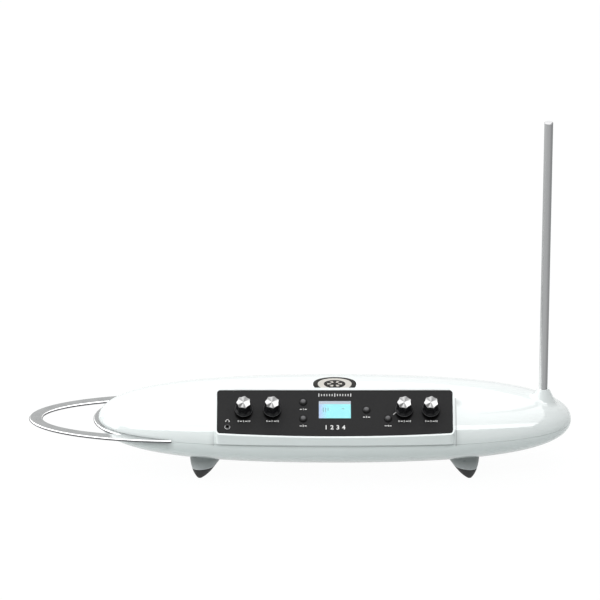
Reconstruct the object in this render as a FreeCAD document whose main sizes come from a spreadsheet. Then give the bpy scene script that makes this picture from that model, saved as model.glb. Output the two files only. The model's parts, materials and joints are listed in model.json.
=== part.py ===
"""Desktop theremin: ovoid body with a sloping console, flat volume loop and upright pitch rod.

The origin is on the table under the middle of the whole outline, +Z up, front towards -Y.
Sub-parts are drawn in the body's frame (its middle, on the seam plane) or in the panel's frame
(middle of the panel's rear edge, Y up the slope, Z out of the panel), and then placed.
"""
import FreeCAD, Part
import math
import os
import re

from FreeCAD import Vector

SIZES = {
    # body shells
    "body_length": 520, "body_depth": 143, "body_height": 83, "body_squareness": 0.6876,
    "shell_wall": 2.8, "seam_height": 56.3, "seam_groove": 0.15, "groove_depth": 0.8,
    # console that carries the front panel
    "console_width": 260.4, "console_depth": 51.4, "console_proud": 1.1, "console_bow": 3.5,
    "console_top": 47.4, "console_foot": 2.1, "console_corner": 5, "well_corner": 2, "panel_tilt": 35,
    "lip_width": 1.6, "ledge_width": 2.6, "panel_thickness": 2, "panel_drop": 0.8,
    # rows and columns on the panel: across from its middle, down from its rear edge
    "knob_row": 25.5, "outer_left_column": 99.4, "inner_left_column": 68.3,
    "inner_right_column": 75.5, "outer_right_column": 104.6,
    "left_button_column": 34.5, "upper_left_button_row": 15.3, "lower_left_button_row": 36,
    "first_right_button_column": 34.5, "first_right_button_row": 25,
    "second_right_button_column": 57.9, "second_right_button_row": 35.9,
    "phones_column": 117, "phones_row": 46.7, "display_row": 24.8,
    # knobs, shafts and their controls
    "knob_radius": 9.6, "knob_top_radius": 7.9, "knob_skirt": 2.6, "skirt_step": 0.6,
    "knob_height": 17, "knob_gap": 0.6, "cap_thickness": 1.2, "cap_margin": 0.7,
    "flute_count": 7, "flute_radius": 2.6, "flute_depth": 2, "flute_lift": 0.4,
    "shaft_radius": 3, "shaft_grip": 8, "bush_radius": 3.5, "bush_height": 4.4,
    "nut_radius": 5.6, "nut_height": 2, "nut_room": 0.6, "control_radius": 8.4, "control_height": 9,
    # push buttons and their switches
    "button_radius": 3.7, "button_top_radius": 2.3, "button_height": 2.2, "button_dome": 0.9,
    "button_flange": 0.9, "button_lip": 0.8, "button_travel": 0.6, "stem_radius": 1.6,
    "switch_width": 6.2, "switch_height": 3.6,
    # display
    "window_length": 35, "window_width": 21.8, "window_thickness": 1.2, "module_margin": 4.5,
    "module_depth": 6,
    # headphone socket
    "phones_bore": 1.8, "phones_bush_radius": 2.6, "phones_bush_height": 1.3, "phones_nut_radius": 3.3,
    "phones_nut_height": 1, "phones_length": 11, "phones_width": 7.7, "phones_depth": 10.5,
    # circuit boards
    "board_thickness": 1.6, "panel_board_length": 246, "panel_board_width": 44, "board_room": 1,
    "spacer_radius": 2.6, "spacer_edge": 5.6, "spacer_column": 52, "phones_spacer_column": 88,
    "main_board_length": 196, "main_board_width": 80, "main_board_drop": 19,
    "post_radius": 4, "post_along": 86, "post_across": 32,
    # fasteners
    "screw_radius": 1.5, "head_radius": 2.8, "head_height": 1.8, "shell_screw_length": 22,
    "shell_screw_seat": 12, "shell_boss_radius": 4.6, "screw_bite": 5.4, "bore_room": 0.9,
    "end_screw_inset": 70, "end_screw_across": 28, "rear_screw_gap": 26, "rear_screw_across": 46,
    # volume antenna loop
    "loop_reach": 336, "loop_length": 165, "loop_half_width": 60, "loop_band_tip": 15,
    "loop_band_side": 13, "loop_thickness": 3, "loop_bevel": 1.2, "loop_end": 178.4, "loop_tip_bar": 5,
    # pitch antenna, its boss and socket
    "rod_radius": 4.75, "rod_top": 353, "rod_inset": 31.3, "rod_bevel": 0.8, "rod_plug": 24,
    "boss_top": 36.7, "boss_top_radius": 6.2, "boss_root_radius": 18.5, "boss_depth": 25,
    "boss_fillet": 5, "socket_radius": 7, "socket_pillar_radius": 15.4, "socket_cover": 6,
    "socket_flange_radius": 10, "socket_flange": 2.5,
    # legs
    "leg_along": 148, "leg_across": 31.8, "leg_length": 44.5, "leg_width": 34, "leg_lean": 11,
    "pad_height": 13.2, "pad_length": 24.5, "pad_width": 19.6, "pad_lean": 3.4, "pad_slant": 8.5,
    "waist_height": 4.4, "waist_length": 13.8, "waist_width": 11, "waist_lean": 1.3, "tip_radius": 2.6,
    # stand insert, threaded 5/8 inch
    "insert_thread": 7.94, "insert_radius": 12, "insert_depth": 14, "insert_flange": 2,
    "insert_boss": 16,
    # rear panel and its sockets
    "rear_length": 164, "rear_height": 30, "rear_thickness": 2.2, "rear_inset": 11.5, "rear_rim": 3,
    "rear_margin": 19, "io_board_width": 38, "io_board_drop": 8.4,
    "jack_bore": 3.2, "jack_bush_radius": 4.7, "jack_bush": 6,
    "jack_nut_radius": 7, "jack_nut_height": 2, "jack_width": 15.6, "jack_depth": 24,
    "dc_bore": 2.75, "dc_pin": 1.05, "dc_width": 10, "dc_depth": 14, "dc_floor": 4,
    "usb_width": 12, "usb_height": 10.9, "usb_depth": 16, "usb_wall": 1.2,
    "rocker_length": 13, "rocker_height": 8, "rocker_rise": 2.4, "rocker_gap": 0.3,
    "rocker_pin": 1, "rocker_pin_length": 9.6, "bezel_width": 2, "bezel_height": 1.6,
    # badge on top
    "badge_half_length": 23.8, "badge_half_depth": 20.8, "badge_height": 0.4, "badge_setback": 21.4,
    # clearances
    "fit_gap": 0.1, "running_gap": 0.05, "panel_gap": 0.15, "notch_gap": 0.2,
}

# worked-out places, as formulas of the sizes above
PLACES = {
    "body_x": "((loop_reach - body_length / 2) / 2)",
    "front_y": "(body_depth / 2 + console_proud)",
    "console_rear": "(front_y - console_depth)",
    "panel_depth": "(console_depth - 2 * lip_width)",
    "panel_y": "(0 - console_rear - lip_width + panel_drop * sin(panel_tilt))",
    "panel_z": "(console_top - lip_width * tan(panel_tilt) - panel_drop * cos(panel_tilt))",
    "bow_radius": "((console_width ^ 2 / 4 + console_bow ^ 2) / (2 * console_bow))",
    "board_top": "(0 - panel_thickness - control_height)",
    "board_row": "(0 - panel_depth / cos(panel_tilt) / 2 - board_room)",
    "switch_top": "(board_top + switch_height)",
    "shaft_foot": "(0 - panel_thickness - control_height / 2)",
    "cap_base": "(knob_gap + knob_height - cap_thickness)",
    "rod_along": "(body_length / 2 - rod_inset)",
    "end_screw_along": "(body_length / 2 - end_screw_inset)",
    "rear_screw_along": "(rear_length / 2 + rear_screw_gap)",
    "rear_plane": "(body_depth / 2 - rear_inset)",
    "rear_face": "(rear_plane + rear_thickness)",
    "rear_step": "((rear_length - 2 * rear_margin) / 5)",
    "usb_place": "(rear_step / 2)",
    "dc_place": "(rear_step * 1.5)",
    "switch_place": "(rear_step * 2.5)",
    "loop_centre": "(loop_length - loop_reach)",
    "socket_top": "(boss_top - socket_cover)",
    "socket_foot": "(boss_top - rod_plug - socket_flange)",
    "clamp_half": "(loop_thickness / 2 + notch_gap)",
    "pad_join": "(pad_height - seam_height)",
}

document = FreeCAD.newDocument("Theremin")
sheet = document.addObject("Spreadsheet::Sheet", "Sizes")
for row, (alias, value) in enumerate(SIZES.items(), start=1):
    sheet.set(f"A{row}", alias)
    sheet.set(f"B{row}", str(value))
    sheet.setAlias(f"B{row}", alias)
document.recompute()

NODES = []
TOUCH = 0.01
WORD = re.compile(r"[a-z][a-z_]*_[a-z_]*[a-z]")
BODY_FRAME = ("body_x", "0", "seam_height")
PANEL_FRAME = ("body_x", "panel_y", "seam_height + panel_z")
PANEL_IN_BODY = ("0", "panel_y", "panel_z")
PANEL_TURN = (Vector(1, 0, 0), "panel_tilt")
TO_REAR = (Vector(-1, 0, 0), "90")


def formula(text):
    """Spell out worked-out places and point each size at its cell."""
    def spell(match):
        word = match.group()
        return formula(PLACES[word]) if word in PLACES else "Sizes." + word
    return WORD.sub(spell, str(text))


def size(text):
    """The number that a formula gives now."""
    return float(sheet.evalExpression(formula(text)))


def put(item, place, turn=None):
    """Bind an object's position, and its turn about one axis, to formulas."""
    if turn:
        item.Placement.Rotation = FreeCAD.Rotation(turn[0], 1)
        item.setExpression("Placement.Rotation.Angle", formula(turn[1]))
    for axis, text in zip("xyz", place):
        item.setExpression("Placement.Base." + axis, formula(text))
    return item


def make(kind, place=("0", "0", "0"), turn=None, **formulas):
    item = document.addObject("Part::" + kind, kind)
    for key, text in formulas.items():
        item.setExpression(key, formula(text))
    return put(item, place, turn)


def box(length, width, height, x="0", y="0", z="0"):
    """A box centred on x and y that rises from z."""
    place = (f"{x} - ({length}) / 2", f"{y} - ({width}) / 2", z)
    return make("Box", place, Length=length, Width=width, Height=height)


def cylinder(radius, height, x="0", y="0", z="0", turn=None):
    return make("Cylinder", (x, y, z), turn, Radius=radius, Height=height)


def cone(lower, upper, height, x="0", y="0", z="0"):
    return make("Cone", (x, y, z), Radius1=lower, Radius2=upper, Height=height)


def hexagon(radius, height, x="0", y="0", z="0", turn=None):
    prism = make("Prism", (x, y, z), turn, Circumradius=radius, Height=height)
    prism.Polygon = 6
    return prism


def join(*items):
    """One fused solid, or the item itself when there is only one."""
    if len(items) == 1:
        return items[0]
    result = document.addObject("Part::MultiFuse", "Fuse")
    result.Shapes = list(items)
    return result


def overlap(*items):
    result = document.addObject("Part::MultiCommon", "Common")
    result.Shapes = list(items)
    return result


def cut(base, *tools):
    result = document.addObject("Part::Cut", "Cut")
    result.Base = base
    result.Tool = join(*tools)
    return result


def group(*items):
    result = document.addObject("Part::Compound", "Group")
    result.Links = list(items)
    return result


def fixed(shape):
    """An object for a shape that neither primitives nor sketches give."""
    item = document.addObject("Part::Feature", "Form")
    item.Shape = shape
    return item


def node(label, *items, frame=BODY_FRAME, turn=None):
    """Name a finished sub-part, one solid or a set of loose ones, and place it."""
    item = items[0]
    if len(items) > 1 or item.TypeId in ("Part::Box", "Part::Cylinder", "Part::Cone", "Part::Prism"):
        item = group(*items)
    item.Label = label
    put(item, frame, turn)
    NODES.append(item)
    return item


def on_panel(label, *items):
    return node(label, *items, frame=PANEL_FRAME, turn=PANEL_TURN)


# ---------------------------------------------------------------- body form

def outline_curves(half_length, half_width):
    """Half of a squared oval above the X axis, as two cubic curves from -X to +X."""
    square = size("body_squareness")
    curves = []
    for side in (-1, 1):
        tip = side * half_length
        poles = [Vector(tip, 0), Vector(tip, square * half_width),
                 Vector(square * tip, half_width), Vector(0, half_width)]
        curve = Part.BezierCurve()
        curve.setPoles(poles if side < 0 else poles[::-1])
        curves.append(curve.toShape())
    return curves


def half_ovoid(offset, upper):
    """Half of the body's ovoid, grown by an offset, above or below the seam plane."""
    half_length = size("body_length") / 2 + offset
    half_depth = size("body_depth") / 2 + offset
    half_height = size("body_height") / 2 + offset
    closing = Part.makeLine(Vector(half_length, 0, 0), Vector(-half_length, 0, 0))
    profile = Part.Face(Part.Wire(outline_curves(half_length, half_depth) + [closing]))
    solid = profile.revolve(Vector(0, 0, 0), Vector(1, 0, 0), 180 if upper else -180)
    squash = FreeCAD.Matrix()
    squash.A33 = half_height / half_depth
    return fixed(solid.transformGeometry(squash))


def outline_prism(offset, half_height):
    """The body's plan outline, grown by an offset, as an upright prism about the seam."""
    half_length = size("body_length") / 2 + offset
    half_depth = size("body_depth") / 2 + offset
    rear = outline_curves(half_length, half_depth)
    front = [edge.mirror(Vector(0, 0, 0), Vector(0, 1, 0)) for edge in rear]
    face = Part.Face(Part.Wire(Part.__sortEdges__(rear + front)))
    face.translate(Vector(0, 0, -half_height))
    return fixed(face.extrude(Vector(0, 0, 2 * half_height)))


def console_prism(inset, foot, top, corner="console_corner"):
    """Upright block of the console's plan, drawn in from its walls by an inset."""
    length = f"console_width - 2 * ({inset})"
    block = box(length, f"front_y - console_rear - 2 * ({inset})", f"{top} - ({foot})",
                y="0 - (front_y + console_rear) / 2", z=foot)
    bow = cylinder(f"bow_radius - ({inset})", f"{top} - ({foot})", y="bow_radius - front_y", z=foot)
    plain = overlap(block, bow)
    document.recompute()
    radius = size(corner)
    upright = [(number, radius, radius) for number, edge in enumerate(plain.Shape.Edges, start=1)
               if edge.BoundBox.XLength + edge.BoundBox.YLength < TOUCH]
    rounded = document.addObject("Part::Fillet", "Rounded")
    rounded.Base = plain
    rounded.Edges = upright
    return rounded


def slab(low, high):
    """Broad slab parallel to the panel, between two heights above its face."""
    plate = box("console_width * 1.5", "body_depth * 2", f"{high} - ({low})", z=low)
    return put(group(plate), PANEL_IN_BODY, PANEL_TURN)


outer = {True: half_ovoid(0, True), False: half_ovoid(0, False)}
inner = {True: half_ovoid(-size("shell_wall"), True), False: half_ovoid(-size("shell_wall"), False)}


# ---------------------------------------------------------------- antennas

def ellipse_prism(long_radius, short_radius, half_height, x="loop_centre", y="0"):
    ring = make("Ellipse", (x, y, f"0 - ({half_height})"),
                MajorRadius=long_radius, MinorRadius=short_radius)
    solid = document.addObject("Part::Extrusion", "EllipsePrism")
    solid.Base = ring
    solid.DirMode = "Normal"
    solid.Solid = True
    solid.setExpression("LengthFwd", formula(f"2 * ({half_height})"))
    return solid


def loop_plate(gap, half_height):
    """The antenna's outer plan up to where its arms end, grown by a gap."""
    rim = ellipse_prism(f"loop_length + ({gap})", f"loop_half_width + ({gap})", half_height)
    reach = f"loop_reach - loop_end + 2 * ({gap})"
    window = box(reach, "loop_half_width * 3", f"2 * ({half_height})",
                 x=f"0 - (loop_reach + loop_end) / 2", z=f"0 - ({half_height})")
    return overlap(rim, window)


def end_screw_places(left_only=False):
    sides = ("0 - ",) if left_only else ("0 - ", "")
    return [(side + "end_screw_along", rear + "end_screw_across")
            for side in sides for rear in ("0 - ", "")]


def rear_screw_places():
    return [(side + "rear_screw_along", "rear_screw_across") for side in ("0 - ", "")]


def volume_antenna():
    half = "loop_thickness / 2"
    hole = cut(ellipse_prism("loop_length - loop_band_tip", "loop_half_width - loop_band_side",
                             "loop_thickness"),
               outline_prism(size("loop_tip_bar"), size("loop_thickness")))
    holes = [cylinder("screw_radius + fit_gap", "2 * loop_thickness", x, y, "0 - loop_thickness")
             for x, y in end_screw_places(left_only=True)]
    plate = cut(loop_plate("0", half), hole, *holes)
    document.recompute()
    face_height = size(half)
    longest_left_square = 4 * size("screw_radius")
    bevel = size("loop_bevel")
    edges = []
    for number, edge in enumerate(plate.Shape.Edges, start=1):
        bounds = edge.BoundBox
        flat = bounds.ZLength < TOUCH and abs(abs(bounds.ZMax) - face_height) < TOUCH
        if flat and bounds.XLength > longest_left_square:
            edges.append((number, bevel, bevel))
    bevelled = document.addObject("Part::Chamfer", "Bevelled")
    bevelled.Base = plate
    bevelled.Edges = edges
    node("volume_antenna", bevelled)


def pitch_antenna():
    foot = "boss_top - rod_plug"
    stem = cylinder("rod_radius", f"rod_top - rod_bevel - ({foot})", "rod_along", z=foot)
    crown = cone("rod_radius", "rod_radius - rod_bevel", "rod_bevel", "rod_along",
                 z="rod_top - rod_bevel")
    node("pitch_antenna", join(stem, crown))
    sleeve = cylinder("socket_radius", "socket_top - socket_foot", "rod_along", z="socket_foot")
    flange = cylinder("socket_flange_radius", "socket_flange", "rod_along", z="socket_foot")
    bore = cylinder("rod_radius + running_gap", "rod_plug", "rod_along",
                    z="socket_foot + socket_flange")
    node("pitch_antenna_socket", cut(join(sleeve, flange), bore))


# ---------------------------------------------------------------- shells

def seam_band(upper):
    """The shallow step outside a shell's edge, which leaves a fine line between the shells."""
    base = "0" if upper else "0 - seam_groove"
    ring = box("body_length * 2", "body_depth * 2", "seam_groove", z=base)
    return cut(ring, half_ovoid(-size("groove_depth"), upper))


def on_boss(edge):
    """Whether the middle of an edge lies on the side of the rod's boss and the edge runs round it."""
    middle = edge.valueAt((edge.FirstParameter + edge.LastParameter) / 2)
    reach = math.hypot(middle.x - size("rod_along"), middle.y)
    widening = size("(boss_root_radius - boss_top_radius) / boss_depth")
    boss_reach = size("boss_top_radius") + widening * (size("boss_top") - middle.z)
    bounds = edge.BoundBox
    runs_round = bounds.YLength > size("boss_top_radius") and bounds.XLength > size("boss_top_radius")
    return abs(reach - boss_reach) < TOUCH and runs_round and bounds.ZMax < size("boss_top") - TOUCH


def blended_boss(skin):
    """Rounds the corner where the rod's boss grows out of the skin."""
    document.recompute()
    radius = size("boss_fillet")
    blend = document.addObject("Part::Fillet", "BossBlend")
    blend.Base = skin
    blend.Edges = [(number, radius, radius) for number, edge in enumerate(skin.Shape.Edges, start=1)
                   if on_boss(edge)]
    return blend


def posts(places, radius, upper, drop="0"):
    """Pillars from a drop under the seam, or from the seam itself, right through a shell's skin."""
    height = "body_height / 2 - (" + drop + ")"
    base = "0" if upper else "0 - body_height / 2"
    return [cylinder(radius, height, x, y, base) for x, y in places]


def board_post_places():
    return [(side + "post_along", rear + "post_across")
            for side in ("0 - ", "") for rear in ("0 - ", "")]


def rear_window():
    """Pocket for the rear panel and the smaller window inside it."""
    pocket = box("rear_length + 2 * panel_gap", "body_depth", "rear_height + 2 * panel_gap",
                 y="rear_plane + body_depth / 2", z="0 - rear_height / 2 - panel_gap")
    window = box("rear_length - 2 * rear_rim", "body_depth", "rear_height - 2 * rear_rim",
                 y="rear_plane", z="rear_rim - rear_height / 2")
    return [pocket, window]


def rear_frame(upper):
    """Block that is left solid round the rear window."""
    base = "0" if upper else "0 - rear_height / 2 - rear_rim"
    return box("rear_length + 2 * rear_rim", "body_depth", "rear_height / 2 + rear_rim",
               y="rear_plane - rear_rim + body_depth / 2", z=base)


def hollow(upper, *kept):
    """A shell's inside, less the pillars and blocks that stay solid in it."""
    return cut(inner[upper], rear_frame(upper), *kept)


def upper_shell():
    walls = cut(console_prism("0", "console_foot", "body_height"),
                slab("panel_drop", "body_height * 2"))
    boss = cone("boss_root_radius", "boss_top_radius", "boss_depth", "rod_along",
                z="boss_top - boss_depth")
    skin = join(outer[True], walls, boss)
    recess = cut(console_prism("lip_width", "0", "body_height", "console_corner - lip_width"),
                 slab("0 - panel_thickness - body_height * 2", "0 - panel_thickness"))
    well = console_prism("lip_width + ledge_width", "0", "body_height", "well_corner")
    screw_places = end_screw_places() + rear_screw_places()
    socket_pillar = cylinder("socket_pillar_radius", "boss_top", "rod_along",
                             z="socket_foot + socket_flange")
    inside = hollow(True, socket_pillar, *posts(screw_places, "shell_boss_radius", True))
    solid = cut(cut(cut(skin, inside), well), recess)
    holes = [cylinder("screw_radius", "shell_screw_length - shell_screw_seat", x, y)
             for x, y in screw_places]
    rod_hole = cylinder("rod_radius + running_gap", "body_height", "rod_along")
    socket_hole = cylinder("socket_radius + running_gap", "socket_top", "rod_along")
    flange_hole = cylinder("socket_flange_radius + fit_gap", "socket_foot + socket_flange", "rod_along")
    notch = loop_plate("notch_gap", "clamp_half")
    for tool in [group(*holes), join(rod_hole, socket_hole, flange_hole), notch, join(*rear_window()),
                 seam_band(True)]:
        solid = cut(solid, tool)
    node("upper_shell", blended_boss(solid))


def lower_shell():
    screw_places = end_screw_places() + rear_screw_places()
    pillars = posts(screw_places, "shell_boss_radius", False)
    board_posts = posts(board_post_places(), "post_radius", False, "main_board_drop + board_thickness")
    seat = posts([("0", "0")], "insert_boss", False, "body_height / 2 - insert_depth - insert_flange")
    solid = cut(outer[False], hollow(False, *pillars, *board_posts, *seat))
    holes = []
    for x, y in screw_places:
        holes.append(cylinder("screw_radius + fit_gap", "body_height", x, y, "0 - body_height / 2"))
        holes.append(cylinder("head_radius + fit_gap", "body_height / 2 - shell_screw_seat", x, y,
                              "0 - body_height / 2"))
    for x, y in board_post_places():
        holes.append(cylinder("screw_radius", "screw_bite + bore_room", x, y,
                              "0 - main_board_drop - board_thickness - screw_bite - bore_room"))
    insert_foot = "0 - body_height / 2"
    insert_bore = cylinder("insert_radius + running_gap", "insert_depth * 2",
                           z=insert_foot + " - insert_depth")
    flange_seat = cylinder("insert_radius + insert_flange + fit_gap", "insert_depth",
                           z=insert_foot + " + insert_depth")
    notch = loop_plate("notch_gap", "clamp_half")
    for tool in [join(*holes), join(insert_bore, flange_seat), notch, join(*rear_window()),
                 seam_band(False)]:
        solid = cut(solid, tool)
    node("lower_shell", solid)


def shell_screws():
    screws = []
    for x, y in end_screw_places() + rear_screw_places():
        shank = cylinder("screw_radius", "shell_screw_length", x, y, "0 - shell_screw_seat")
        head = cylinder("head_radius", "head_height", x, y, "0 - shell_screw_seat - head_height")
        screws.append(join(shank, head))
    node("shell_screws", *screws)


# ---------------------------------------------------------------- legs and stand insert

def leg_form(side, rear):
    """A leg and its pad in one: oval sections that shrink and lean towards the tip."""
    levels = [
        ("pad_height + leg_length / 2", "leg_length", "leg_width", "leg_lean"),
        ("pad_height", "pad_length", "pad_width", "pad_lean"),
        ("waist_height", "waist_length", "waist_width", "waist_lean"),
        ("0", "tip_radius * 2", "tip_radius * 2", "0"),
    ]
    sections = []
    for texts in levels:
        height, length, width, lean = (size(text) for text in texts)
        centre = Vector(side * (size("leg_along") - lean), rear * size("leg_across"),
                        height - size("seam_height"))
        long_radius, short_radius = max(length, width) / 2, min(length, width) / 2
        oval = Part.Ellipse(centre, long_radius, short_radius) if long_radius > short_radius \
            else Part.Circle(centre, Vector(0, 0, 1), long_radius)
        sections.append(Part.Wire(oval.toShape()))
    return fixed(Part.makeLoft(sections, True))


def pad_block(side):
    """Everything under the slanted joint between the legs and their pads."""
    block = box("body_length", "body_depth * 2", "seam_height", z="0 - seam_height")
    angle = "pad_slant" if side > 0 else "0 - pad_slant"
    return put(group(block), (f"{side} * leg_along", "0", "pad_join"), (Vector(0, 1, 0), angle))


def legs():
    leg_solids, pad_solids = [], []
    for side in (-1, 1):
        for rear in (-1, 1):
            form = leg_form(side, rear)
            leg_solids.append(cut(cut(form, pad_block(side)), outer[False]))
            pad_solids.append(overlap(form, pad_block(side)))
    node("legs", *leg_solids)
    node("foot_pads", *pad_solids)


def stand_insert():
    body = cylinder("insert_radius", "insert_depth", z="0 - body_height / 2")
    flange = cylinder("insert_radius + insert_flange", "insert_flange",
                      z="insert_depth - body_height / 2")
    bore = cylinder("insert_thread", "body_height", z="0 - body_height")
    node("stand_insert", cut(join(body, flange), bore))


# ---------------------------------------------------------------- front panel and its parts

KNOBS = {
    "outer_left": "0 - outer_left_column", "inner_left": "0 - inner_left_column",
    "inner_right": "inner_right_column", "outer_right": "outer_right_column",
}
BUTTONS = {
    "upper_left": ("0 - left_button_column", "0 - upper_left_button_row"),
    "lower_left": ("0 - left_button_column", "0 - lower_left_button_row"),
    "first_right": ("first_right_button_column", "0 - first_right_button_row"),
    "second_right": ("second_right_button_column", "0 - second_right_button_row"),
}
KNOB_Y = "0 - knob_row"
DISPLAY_Y = "0 - display_row"
PHONES = ("0 - phones_column", "0 - phones_row")


def spacer_places():
    """Studs that carry the panel board: four along its rear edge and three along its front."""
    far = "panel_board_length / 2 - spacer_edge"
    reach = "(panel_board_width / 2 - spacer_edge)"
    rear = [(x, "board_row + " + reach)
            for x in (f"0 - ({far})", "0 - spacer_column", "spacer_column", far)]
    front = [(x, "board_row - " + reach) for x in ("0 - phones_spacer_column", "0", far)]
    return rear + front


def front_panel():
    plan = console_prism("lip_width + panel_gap", "0", "body_height", "console_corner - lip_width")
    plate = overlap(plan, slab("0 - panel_thickness", "0"))
    depth, foot = "panel_thickness * 3", "0 - panel_thickness * 2"
    holes = [cylinder("bush_radius + fit_gap", depth, x, KNOB_Y, foot) for x in KNOBS.values()]
    holes += [cylinder("button_radius + fit_gap", depth, x, y, foot) for x, y in BUTTONS.values()]
    holes.append(cylinder("phones_bush_radius + fit_gap", depth, *PHONES, foot))
    holes.append(box("window_length + 2 * fit_gap", "window_width + 2 * fit_gap", depth,
                     y=DISPLAY_Y, z=foot))
    drills = put(group(*holes), PANEL_IN_BODY, PANEL_TURN)
    node("front_panel", cut(plate, drills))


def knob(name, x):
    """A fluted knob with its metal cap, on a shaft that turns in a panel control."""
    skirt = cylinder("knob_radius", "knob_skirt", x, KNOB_Y, "knob_gap")
    grip_height = "knob_height - knob_skirt - cap_thickness"
    grip = cone("knob_radius - skirt_step", "knob_top_radius", grip_height, x, KNOB_Y,
                "knob_gap + knob_skirt")
    flutes = []
    reach = "(knob_radius + flute_radius - flute_depth)"
    for step in range(round(size("flute_count"))):
        across = f"{x} + {reach} * cos({step} * 360 / flute_count)"
        along = f"{KNOB_Y} + {reach} * sin({step} * 360 / flute_count)"
        flutes.append(cylinder("flute_radius", "knob_height * 2", across, along,
                               "knob_gap + knob_skirt + flute_lift"))
    bore = cylinder("shaft_radius", "bush_height + shaft_grip", x, KNOB_Y)
    counterbore = cylinder("nut_radius + nut_room", "bush_height + nut_room", x, KNOB_Y)
    on_panel(f"{name}_knob", cut(join(skirt, grip), group(*flutes), join(bore, counterbore)))
    cap = cylinder("knob_top_radius - cap_margin / 2", "cap_thickness", x, KNOB_Y, "cap_base")
    on_panel(f"{name}_knob_cap", cut(cap, group(*flutes)))
    shaft = cylinder("shaft_radius", "bush_height + shaft_grip - shaft_foot", x, KNOB_Y, "shaft_foot")
    on_panel(f"{name}_shaft", shaft)
    housing = cylinder("control_radius", "control_height", x, KNOB_Y, "board_top")
    bush = cylinder("bush_radius", "panel_thickness + bush_height", x, KNOB_Y, "0 - panel_thickness")
    well = cylinder("shaft_radius + running_gap", "bush_height - shaft_foot + 2 * fit_gap", x, KNOB_Y,
                    "shaft_foot - fit_gap")
    on_panel(f"{name}_control", cut(join(housing, bush), well))


def control_nuts():
    nuts = [cut(hexagon("nut_radius", "nut_height", x, KNOB_Y),
                cylinder("bush_radius", "nut_height", x, KNOB_Y)) for x in KNOBS.values()]
    on_panel("control_nuts", *nuts)


def button(name, x, y):
    """A domed push button with a flange under the panel and a stem down to its switch."""
    dome_base = "button_height - button_dome"
    flange_base = "0 - panel_thickness - button_flange - fit_gap"
    body = cylinder("button_radius", f"{dome_base} - ({flange_base})", x, y, flange_base)
    dome = cone("button_radius", "button_top_radius", "button_dome", x, y, dome_base)
    flange = cylinder("button_radius + button_lip", "button_flange", x, y, flange_base)
    stem = cylinder("stem_radius", "0 - panel_thickness - switch_top", x, y, "switch_top + fit_gap / 2")
    on_panel(f"{name}_button", join(body, dome, flange, stem))


def button_switches():
    switches = []
    for x, y in BUTTONS.values():
        case = box("switch_width", "switch_width", "switch_height", x, y, "board_top")
        well = cylinder("stem_radius + fit_gap", "button_travel + 3 * fit_gap", x, y,
                        "switch_top - button_travel - 2 * fit_gap")
        switches.append(cut(case, well))
    on_panel("button_switches", *switches)


def display():
    window = box("window_length", "window_width", "window_thickness", y=DISPLAY_Y,
                 z="0 - window_thickness")
    on_panel("display_window", window)
    frame = box("window_length + 2 * module_margin", "window_width + module_margin", "module_depth",
                y=DISPLAY_Y, z="0 - panel_thickness - module_depth")
    raised = box("window_length", "window_width", "panel_thickness - window_thickness",
                 y=DISPLAY_Y, z="0 - panel_thickness")
    foot = box("window_length", "window_width / 2", "control_height - module_depth",
               y=DISPLAY_Y, z="board_top")
    on_panel("display_module", join(frame, raised, foot))


def headphone_jack():
    body = box("phones_length", "phones_width", "control_height", *PHONES, "board_top")
    bush = cylinder("phones_bush_radius", "panel_thickness + phones_bush_height", *PHONES,
                    "0 - panel_thickness")
    bore = cylinder("phones_bore", "phones_depth", *PHONES, "phones_bush_height - phones_depth")
    on_panel("headphone_jack", cut(join(body, bush), bore))
    ring = cylinder("phones_nut_radius", "phones_nut_height", *PHONES)
    ring_bore = cylinder("phones_bush_radius", "phones_nut_height", *PHONES)
    on_panel("headphone_jack_nut", cut(ring, ring_bore))


def panel_board():
    board = box("panel_board_length", "panel_board_width", "board_thickness", y="board_row",
                z="board_top - board_thickness")
    holes = [cylinder("screw_radius + fit_gap", "board_thickness * 3", x, y,
                      "board_top - board_thickness * 2") for x, y in spacer_places()]
    on_panel("panel_board", cut(board, group(*holes)))
    spacers, screws = [], []
    for x, y in spacer_places():
        stud = cylinder("spacer_radius", "control_height", x, y, "board_top")
        bore = cylinder("screw_radius", "screw_bite + bore_room", x, y, "board_top")
        spacers.append(cut(stud, bore))
        shank = cylinder("screw_radius", "screw_bite + board_thickness", x, y,
                         "board_top - board_thickness")
        head = cylinder("head_radius", "head_height", x, y, "board_top - board_thickness - head_height")
        screws.append(join(shank, head))
    on_panel("panel_spacers", *spacers)
    on_panel("panel_board_screws", *screws)


# ---------------------------------------------------------------- boards, rear panel, badge

def main_board():
    level = "0 - main_board_drop - board_thickness"
    board = box("main_board_length", "main_board_width", "board_thickness", z=level)
    holes = [cylinder("screw_radius + fit_gap", "board_thickness * 3", x, y, level + " - board_thickness")
             for x, y in board_post_places()]
    node("main_board", cut(board, group(*holes)))
    screws = []
    for x, y in board_post_places():
        shank = cylinder("screw_radius", "screw_bite + board_thickness", x, y, level + " - screw_bite")
        head = cylinder("head_radius", "head_height", x, y, "0 - main_board_drop")
        screws.append(join(shank, head))
    node("main_board_screws", *screws)


JACKS = {
    "control_out_jack": "0 - rear_step / 2", "left_out_jack": "0 - rear_step * 1.5",
    "right_out_jack": "0 - rear_step * 2.5",
}


def rear_cylinder(radius, length, x, start):
    """A cylinder that points to the rear, from a start distance behind the body's middle."""
    return cylinder(radius, length, x, start, turn=TO_REAR)


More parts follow.
